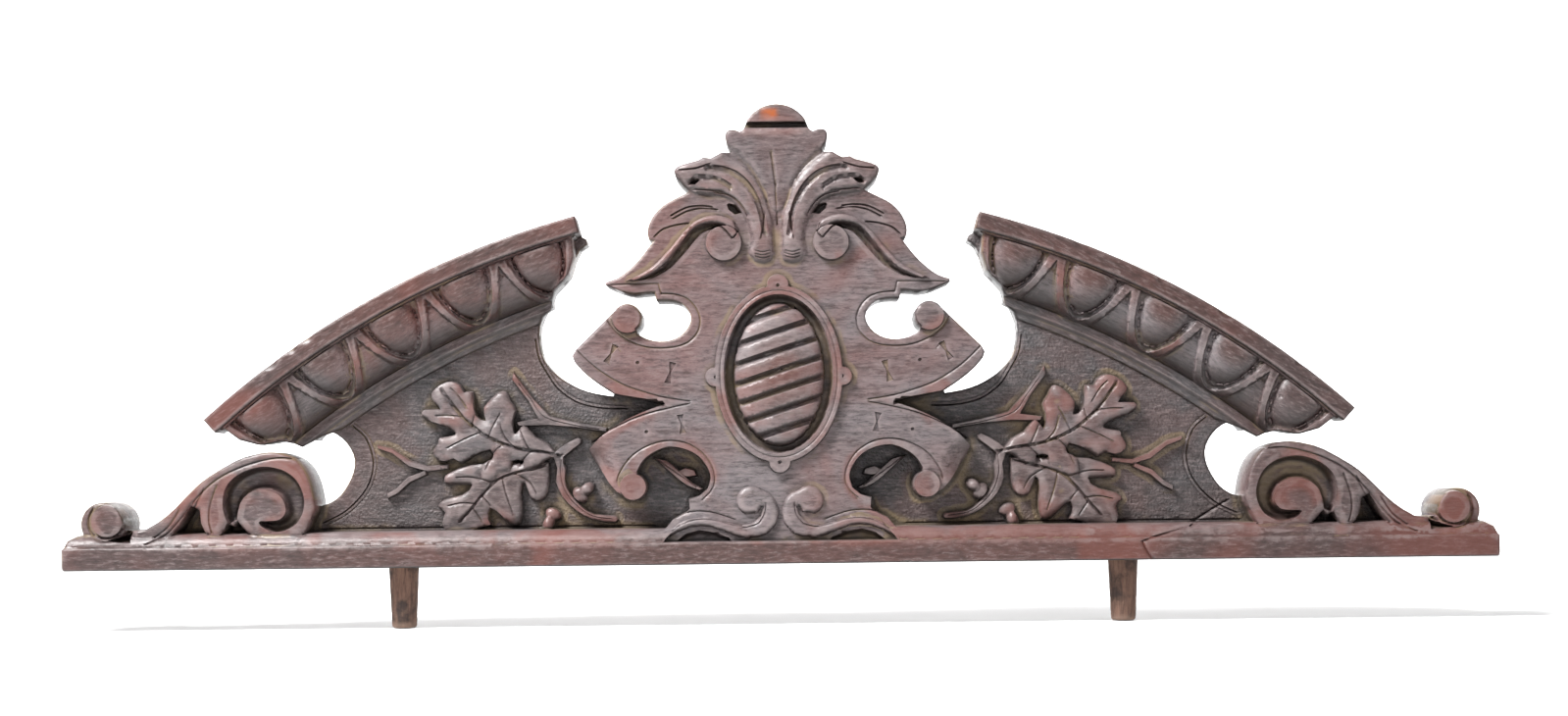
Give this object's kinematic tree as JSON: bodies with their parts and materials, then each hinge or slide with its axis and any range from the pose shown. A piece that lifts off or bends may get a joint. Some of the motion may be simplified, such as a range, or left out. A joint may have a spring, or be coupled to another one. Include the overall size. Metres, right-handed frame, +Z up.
{
  "type": "carved overdoor",
  "caption": "Carved oak overdoor to stand on a door head: a scrolled plank with an oval cartouche, leaf crest and oak sprays, raking egg mouldings, and dowels below.",
  "frame": {"origin": "middle of the ledge's underside, where the overdoor stands on a door head", "axes": "+X along the ledge to the right as seen from the front, -Y to the front, +Z up"},
  "size_m": [1.054, 0.054, 0.3835],
  "materials": {
    "stained_oak": "waxed",
    "dowel_wood": "raw"
  },
  "bodies": {
    "root": {"carved_panel": "stained_oak", "raking_moulding_left": "stained_oak", "raking_moulding_right": "stained_oak", "dowel_left": "dowel_wood", "dowel_right": "dowel_wood"}
  },
  "joints": []
}
